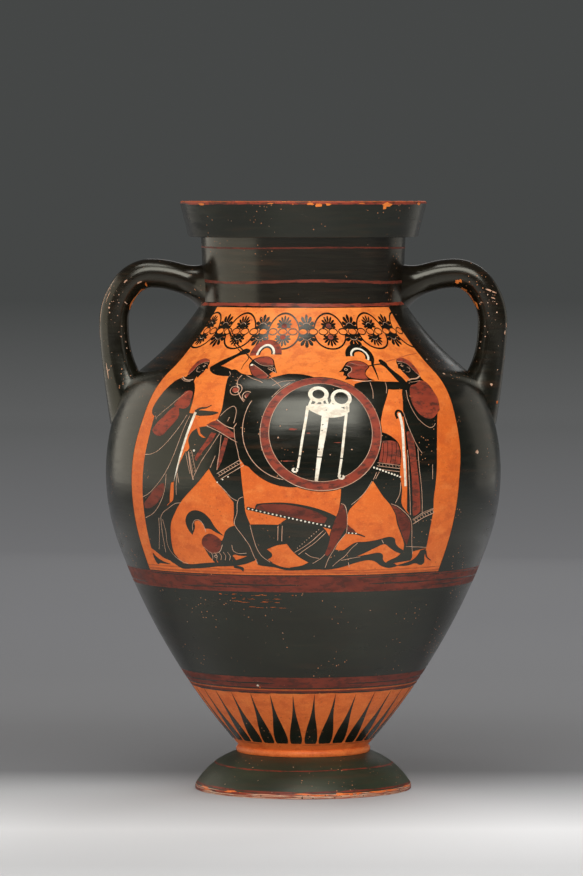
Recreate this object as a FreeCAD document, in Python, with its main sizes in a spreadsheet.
"""One-piece belly amphora with a flaring mouth, round loop handles and a spreading foot, in millimetres.

The vase is thrown on the wheel in sections and luted together: foot, joint fillet, lower body, shoulder, neck
and mouth, with two hand-rolled handles. The origin is on the axis, on the surface that the foot stands on.
+Z is up, the handles lie along X, and +Y is the back.
"""

import FreeCAD, Part

import math
import os

import Sketcher

PARTS_FOLDER = "parts"

# Every driving dimension: alias, value, what it is.
DIMENSIONS = [
    ("wall", 6.0, "wall thickness of body, shoulder and neck"),
    ("belly_r", 144.4, "widest outer radius"),
    ("belly_z", 232.0, "height of the widest circle, where the two body sections are luted"),
    ("belly_arc", 150.0, "radius of the belly's curve"),
    ("belly_angle", 20.0, "degrees that the belly's curve runs above and below the widest circle"),
    ("taper_arc", 470.0, "radius of the long curve from the belly down to the foot"),
    ("taper_angle", 41.2, "degrees from vertical where the taper ends"),
    ("base_r", 46.0, "radius of the flat underside of the body, which the foot is luted to"),
    ("base_z", 30.0, "height of that underside"),
    ("round_arc", 56.0, "radius of the round of the shoulder"),
    ("round_angle", 38.0, "degrees below horizontal where the shoulder turns hollow"),
    ("sweep_arc", 188.0, "radius of the hollow curve up to the neck"),
    ("sweep_angle", 58.0, "degrees below horizontal where it meets the neck"),
    ("neck_arc", 900.0, "radius of the neck's slight hollow"),
    ("neck_top_r", 74.6, "outer radius at the top of the neck"),
    ("lip_z", 404.0, "height of the ledge under the mouth"),
    ("lip_low_r", 83.7, "outer radius of the mouth's lower edge"),
    ("lip_top_r", 90.0, "outer radius of the mouth's upper edge"),
    ("rim_z", 430.0, "overall height"),
    ("rim_in_r", 80.5, "inner radius of the flat top of the rim"),
    ("rim_round", 1.2, "round on the rim's outer edge"),
    ("throat_arc", 44.0, "radius of the inside of the mouth"),
    ("foot_r", 79.0, "largest radius of the foot"),
    ("foot_edge", 3.0, "height of the foot's vertical edge"),
    ("foot_arc", 53.0, "radius of the foot's rounded top"),
    ("foot_neck_r", 48.5, "radius where the foot's rounded top begins"),
    ("foot_rest_r", 66.0, "inner radius of the ring that the foot rests on"),
    ("foot_hollow_r", 27.0, "radius of the hollow where it reaches the body"),
    ("foot_hollow_z", 19.0, "height of the turn in the hollow"),
    ("bead_z", 27.0, "height of the fillet's underside"),
    ("bead_arc", 3.2, "radius of the fillet's round face"),
    ("handle_r", 10.6, "radius of the handle's round section"),
    ("grip_top_r", 110.8, "distance from the axis to the top of the handle's centre line"),
    ("grip_top_z", 377.2, "height of the top of the centre line"),
    ("grip_rise_arc", 60.0, "bend of the centre line between neck and top"),
    ("grip_rise_angle", 15.5, "slope of the centre line where it leaves the neck, in degrees"),
    ("grip_turn_arc", 23.0, "bend just outside the top"),
    ("grip_turn_angle", 50.0, "degrees that this bend turns"),
    ("grip_side_arc", 43.0, "bend from there to the outermost point"),
    ("grip_drop_arc", 137.0, "bend from the outermost point down to the shoulder"),
    ("grip_drop_angle", 28.0, "degrees that the drop turns, ending inside the shoulder"),
    ("grip_root_r", 68.0, "distance from the axis to the upper end, inside the neck's wall"),
    ("upper_root_r", 16.5, "radius of the handle where it is pressed on the neck"),
    ("upper_root_run", 17.0, "length of the upper flare"),
    ("lower_root_r", 15.5, "radius of the handle where it is pressed on the shoulder"),
    ("lower_root_run", 34.0, "length of the lower flare"),
]


def make_sheet(doc):
    """The spreadsheet of driving dimensions, one aliased cell each."""
    sheet = doc.addObject("Spreadsheet::Sheet", "Sizes")
    for row, (alias, value, meaning) in enumerate(DIMENSIONS, start=1):
        sheet.set(f"A{row}", meaning)
        sheet.set(f"B{row}", str(value))
        sheet.setAlias(f"B{row}", alias)
    doc.recompute()
    return sheet


def cells(expression):
    """An expression written with bare aliases, with the sheet's name put before each of them."""
    words = []
    word = ""
    aliases = {alias for alias, _value, _meaning in DIMENSIONS}
    for letter in expression + " ":
        if letter.isalnum() or letter == "_":
            word += letter
            continue
        words.append(f"Sizes.{word}" if word in aliases else word)
        words.append(letter)
        word = ""
    return "".join(words).strip()


# Points of the wall's section as (radius, height) expressions. The angles are those of the tangent, so that every
# curve leaves the last one smoothly, and a point of the inner face is its outer point moved along the normal.
BELLY_LOW = (
    "belly_r - belly_arc * (1 - cos(belly_angle))",
    "belly_z - belly_arc * sin(belly_angle)",
)
BELLY_HIGH = (BELLY_LOW[0], "belly_z + belly_arc * sin(belly_angle)")
TAPER_END = (
    f"{BELLY_LOW[0]} - taper_arc * (cos(belly_angle) - cos(taper_angle))",
    f"{BELLY_LOW[1]} - taper_arc * (sin(taper_angle) - sin(belly_angle))",
)
ROUND_END = (
    f"{BELLY_HIGH[0]} - round_arc * (cos(belly_angle) - sin(round_angle))",
    f"{BELLY_HIGH[1]} + round_arc * (cos(round_angle) - sin(belly_angle))",
)
NECK_BASE = (
    f"{ROUND_END[0]} - sweep_arc * (sin(sweep_angle) - sin(round_angle))",
    f"{ROUND_END[1]} + sweep_arc * (cos(round_angle) - cos(sweep_angle))",
)


def inward(point, radial, axial):
    """The point of the inner face behind an outer point whose normal has these two parts."""
    return (f"{point[0]} - wall * {radial}", f"{point[1]} - wall * {axial}")


BELLY_IN = ("belly_r - wall", "belly_z")
BELLY_LOW_IN = inward(BELLY_LOW, "cos(belly_angle)", "(0 - sin(belly_angle))")
BELLY_HIGH_IN = inward(BELLY_HIGH, "cos(belly_angle)", "sin(belly_angle)")
TAPER_END_IN = inward(TAPER_END, "cos(taper_angle)", "(0 - sin(taper_angle))")
ROUND_END_IN = inward(ROUND_END, "sin(round_angle)", "cos(round_angle)")
NECK_BASE_IN = inward(NECK_BASE, "sin(sweep_angle)", "cos(sweep_angle)")
NECK_TOP_IN = ("neck_top_r - wall", "lip_z")

SECTIONS = {
    "lower_body": [
        ("belly_r", "belly_z"),
        (*BELLY_LOW, "belly_arc", "out"),
        (*TAPER_END, "taper_arc", "out"),
        ("base_r", "base_z"),
        ("0", "base_z"),
        ("0", TAPER_END_IN[1]),
        TAPER_END_IN,
        (*BELLY_LOW_IN, "taper_arc - wall", "in"),
        (*BELLY_IN, "belly_arc - wall", "in"),
    ],
    "shoulder": [
        NECK_BASE,
        (*ROUND_END, "sweep_arc", "in"),
        (*BELLY_HIGH, "round_arc", "out"),
        ("belly_r", "belly_z", "belly_arc", "out"),
        BELLY_IN,
        (*BELLY_HIGH_IN, "belly_arc - wall", "in"),
        (*ROUND_END_IN, "round_arc - wall", "in"),
        (*NECK_BASE_IN, "sweep_arc + wall", "out"),
    ],
    "neck": [
        ("neck_top_r", "lip_z"),
        (*NECK_BASE, "neck_arc", "in"),
        NECK_BASE_IN,
        (*NECK_TOP_IN, "neck_arc + wall", "out"),
    ],
    "mouth": [
        ("rim_in_r", "rim_z", "throat_arc", "in"),
        ("lip_top_r - rim_round", "rim_z"),
        ("lip_top_r", "rim_z - rim_round", "rim_round", "out"),
        ("lip_low_r", "lip_z"),
        NECK_TOP_IN,
    ],
    "foot": [
        ("foot_hollow_r", "base_z"),
        ("base_r", "base_z"),
        ("base_r", "bead_z"),
        ("foot_neck_r", "bead_z"),
        ("foot_r", "foot_edge", "foot_arc", "out"),
        ("foot_r", "0"),
        ("foot_rest_r", "0"),
        ("foot_hollow_r", "foot_hollow_z"),
    ],
    "foot_fillet": [
        ("base_r", "bead_z"),
        ("base_r", "base_z"),
        TAPER_END,
        ("foot_neck_r", "bead_z", "bead_arc", "out"),
    ],
}


def value_of(sheet, expression):
    """The number that an expression of the sheet's cells gives."""
    return float(sheet.evalExpression(cells(expression)))


def arc_between(start, end, radius, bulge):
    """The shorter arc from start to end. bulge is "out" where the arc turns clockwise, in the order of the outline."""
    low, high = FreeCAD.Vector(*start, 0), FreeCAD.Vector(*end, 0)
    chord = high - low
    depth = math.sqrt(radius**2 - (chord.Length / 2) ** 2)
    side = FreeCAD.Vector(chord.y, -chord.x, 0).normalize()
    if bulge == "in":
        side = side * -1
        low, high = high, low
    centre = (low + high) * 0.5 + side * depth
    first, last = (math.atan2(p.y - centre.y, p.x - centre.x) for p in (high, low))
    if last < first:
        last += 2 * math.pi
    return Part.ArcOfCircle(Part.Circle(centre, FreeCAD.Vector(0, 0, 1), radius), first, last)


def add_outline(sheet, sketch, outline):
    """Draws a closed outline of (radius, height[, arc radius, bulge]) corners, each bound to the sheet's cells."""
    places = [(value_of(sheet, c[0]), value_of(sheet, c[1])) for c in outline]
    count = len(outline)
    for i, corner in enumerate(outline):
        start, end = places[i - 1], places[i]
        if len(corner) == 4:
            sketch.addGeometry(arc_between(start, end, value_of(sheet, corner[2]), corner[3]))
        else:
            sketch.addGeometry(Part.LineSegment(FreeCAD.Vector(*start, 0), FreeCAD.Vector(*end, 0)))
    ends = []
    for i in range(count):
        shape = sketch.Geometry[i]
        finish = FreeCAD.Vector(*places[i], 0)
        ends.append(2 if (shape.EndPoint - finish).Length < 1e-6 else 1)
    for i in range(count):
        follower = (i + 1) % count
        sketch.addConstraint(
            Sketcher.Constraint("Coincident", i, ends[i], follower, 3 - ends[follower])
        )
    for i, corner in enumerate(outline):
        bind(sketch, Sketcher.Constraint("DistanceX", -1, 1, i, ends[i], places[i][0]), corner[0])
        bind(sketch, Sketcher.Constraint("DistanceY", -1, 1, i, ends[i], places[i][1]), corner[1])
        if len(corner) == 4:
            radius = value_of(sheet, corner[2])
            bind(sketch, Sketcher.Constraint("Radius", i, radius), corner[2])


def bind(sketch, constraint, expression):
    """Adds a constraint whose value follows the sheet."""
    index = sketch.addConstraint(constraint)
    if expression != "0":
        sketch.setExpression(f"Constraints[{index}]", cells(expression))


def plane(body, role):
    """One of a body's own origin planes or axes."""
    return next(f for f in body.Origin.OriginFeatures if f.Role == role)


def new_sketch(body, name, role="XZ_Plane"):
    """An empty sketch on one of the body's origin planes."""
    sketch = body.newObject("Sketcher::SketchObject", name)
    sketch.AttachmentSupport = [(plane(body, role), "")]
    sketch.MapMode = "FlatFace"
    return sketch


def turned_body(doc, sheet, label, outline):
    """A section of the vase, turned about the axis."""
    body = doc.addObject("PartDesign::Body", label)
    body.Label = label
    sketch = new_sketch(body, f"{label}_section")
    add_outline(sheet, sketch, outline)
    turn = body.newObject("PartDesign::Revolution", f"{label}_turning")
    turn.Profile = sketch
    turn.ReferenceAxis = (plane(body, "Z_Axis"), [""])
    turn.Angle = 360.0
    sketch.Visibility = False
    doc.recompute()
    return body


# The handle's centre line, from inside the neck's wall over the top and down into the shoulder.
RISE_START = (
    "grip_top_r - grip_rise_arc * sin(grip_rise_angle)",
    "grip_top_z - grip_rise_arc * (1 - cos(grip_rise_angle))",
)
ROOT = (
    "grip_root_r",
    f"{RISE_START[1]} - ({RISE_START[0]} - grip_root_r) * tan(grip_rise_angle)",
)
TURN_END = (
    "grip_top_r + grip_turn_arc * sin(grip_turn_angle)",
    "grip_top_z - grip_turn_arc * (1 - cos(grip_turn_angle))",
)
OUTERMOST = (
    f"{TURN_END[0]} + grip_side_arc * (1 - sin(grip_turn_angle))",
    f"{TURN_END[1]} - grip_side_arc * cos(grip_turn_angle)",
)
DROP_END = (
    f"{OUTERMOST[0]} - grip_drop_arc * (1 - cos(grip_drop_angle))",
    f"{OUTERMOST[1]} - grip_drop_arc * sin(grip_drop_angle)",
)
CENTRE_LINE = [
    ROOT,
    RISE_START,
    ("grip_top_r", "grip_top_z", "grip_rise_arc", "out"),
    (*TURN_END, "grip_turn_arc", "out"),
    (*OUTERMOST, "grip_side_arc", "out"),
    (*DROP_END, "grip_drop_arc", "out"),
]


def add_path(sheet, sketch, path):
    """Draws an open chain of lines and arcs, bound to the sheet as add_outline's corners are."""
    places = [(value_of(sheet, c[0]), value_of(sheet, c[1])) for c in path]
    for i, corner in enumerate(path[1:], start=1):
        start, end = places[i - 1], places[i]
        if len(corner) == 4:
            sketch.addGeometry(arc_between(start, end, value_of(sheet, corner[2]), corner[3]))
        else:
            sketch.addGeometry(Part.LineSegment(FreeCAD.Vector(*start, 0), FreeCAD.Vector(*end, 0)))
    for i, corner in enumerate(path[1:], start=1):
        shape = sketch.Geometry[i - 1]
        end = 2 if (shape.EndPoint - FreeCAD.Vector(*places[i], 0)).Length < 1e-6 else 1
        if i == 1:
            pinned(sketch, i - 1, 3 - end, places[0], path[0])
        else:
            last = sketch.Geometry[i - 2]
            joint = 2 if (last.EndPoint - FreeCAD.Vector(*places[i - 1], 0)).Length < 1e-6 else 1
            sketch.addConstraint(Sketcher.Constraint("Coincident", i - 2, joint, i - 1, 3 - end))
        pinned(sketch, i - 1, end, places[i], corner)
        if len(corner) == 4:
            radius = value_of(sheet, corner[2])
            bind(sketch, Sketcher.Constraint("Radius", i - 1, radius), corner[2])


def pinned(sketch, index, point, place, corner):
    """Binds one end of a curve to a corner's two expressions."""
    bind(sketch, Sketcher.Constraint("DistanceX", -1, 1, index, point, place[0]), corner[0])
    bind(sketch, Sketcher.Constraint("DistanceY", -1, 1, index, point, place[1]), corner[1])


def circle_at(body, sheet, name, place, slope, radius):
    """A circle square to the centre line at a place on it, where the line runs at that slope in degrees."""
    sketch = new_sketch(body, name, "YZ_Plane")
    sketch.AttachmentOffset = FreeCAD.Placement(
        FreeCAD.Vector(0, place[1], place[0]), FreeCAD.Rotation(FreeCAD.Vector(1, 0, 0), slope)
    )
    sketch.addGeometry(Part.Circle(FreeCAD.Vector(0, 0, 0), FreeCAD.Vector(0, 0, 1), value_of(sheet, radius)))
    sketch.addConstraint(Sketcher.Constraint("Coincident", 0, 3, -1, 1))
    bind(sketch, Sketcher.Constraint("Radius", 0, value_of(sheet, radius)), radius)
    return sketch


def along(place, slope, run):
    """The place that far along a straight line of that slope in degrees."""
    step = FreeCAD.Rotation(FreeCAD.Vector(0, 0, 1), slope).multVec(FreeCAD.Vector(run, 0, 0))
    return (place[0] + step.x, place[1] + step.y)


def handle_bar(doc, sheet):
    """The whole handle before it is trimmed to the neck and shoulder: a round bar with a flare at each end."""
    body = doc.addObject("PartDesign::Body", "handle_bar")
    spine = new_sketch(body, "handle_centre_line")
    add_path(sheet, spine, CENTRE_LINE)
    doc.recompute()
    root = tuple(value_of(sheet, e) for e in ROOT)
    drop = tuple(value_of(sheet, e) for e in DROP_END)
    rise = value_of(sheet, "grip_rise_angle")
    turned = math.degrees(value_of(sheet, "lower_root_run / grip_drop_arc"))
    fall = 90 - value_of(sheet, "grip_drop_angle") + turned / 2

    section = circle_at(body, sheet, "handle_section", root, -rise, "handle_r")
    doc.recompute()
    bar = body.newObject("PartDesign::AdditivePipe", "handle_sweep")
    bar.Profile = section
    bar.Spine = (spine, [])
    doc.recompute()

    flares = [
        ("upper", root, rise, "upper_root_r", "upper_root_run"),
        ("lower", drop, fall, "lower_root_r", "lower_root_run"),
    ]
    for name, place, slope, radius, run in flares:
        far = along(place, slope, value_of(sheet, run))
        wide = circle_at(body, sheet, f"{name}_root", place, -slope, radius)
        slim = circle_at(body, sheet, f"{name}_root_end", far, -slope, "handle_r * 0.98")
        doc.recompute()
        flare = body.newObject("PartDesign::AdditiveLoft", f"{name}_flare")
        flare.Profile = wide
        flare.Sections = [slim]
        doc.recompute()
    return body


def handle_core(doc, sheet):
    """The neck and shoulder as one filled solid, which the handles' ends are cut to."""
    neck, shoulder = SECTIONS["neck"], SECTIONS["shoulder"]
    outline = [("0", "lip_z"), *neck[:2], *shoulder[1:4], ("0", "belly_z")]
    return turned_body(doc, sheet, "handle_core", outline)


def build(doc):
    """Every sub-part as {node name: document object}."""
    sheet = make_sheet(doc)
    nodes = {name: turned_body(doc, sheet, name, outline) for name, outline in SECTIONS.items()}

    right = doc.addObject("Part::Cut", "handle_right")
    right.Base = handle_bar(doc, sheet)
    right.Tool = handle_core(doc, sheet)
    doc.recompute()
    left = doc.addObject("Part::Mirroring", "handle_left")
    left.Source = right
    left.Normal = FreeCAD.Vector(1, 0, 0)
    doc.recompute()
    nodes["handle_right"] = right
    nodes["handle_left"] = left
    for name, part in nodes.items():
        part.Label = name
    return nodes


def check(doc, nodes):
    """Stops if any object failed to build, or if a sub-part isn't one or more valid solids."""
    for thing in doc.Objects:
        if {"Invalid", "Error"} & set(thing.State):
            raise RuntimeError(f"{thing.Label} did not build: {thing.State}")
    for name, part in nodes.items():
        shape = part.Shape
        if shape.isNull() or not shape.isValid() or not shape.Solids:
            raise RuntimeError(f"{name} has no valid solid")
        print(f"{name}: {len(shape.Solids)} solid, {shape.Volume / 1000:.1f} cm3")


def main():
    doc = FreeCAD.newDocument("amphora")
    nodes = build(doc)
    check(doc, nodes)
    os.makedirs(PARTS_FOLDER, exist_ok=True)
    for name, part in nodes.items():
        part.Shape.exportStep(f"{PARTS_FOLDER}/{name}.step")


main()
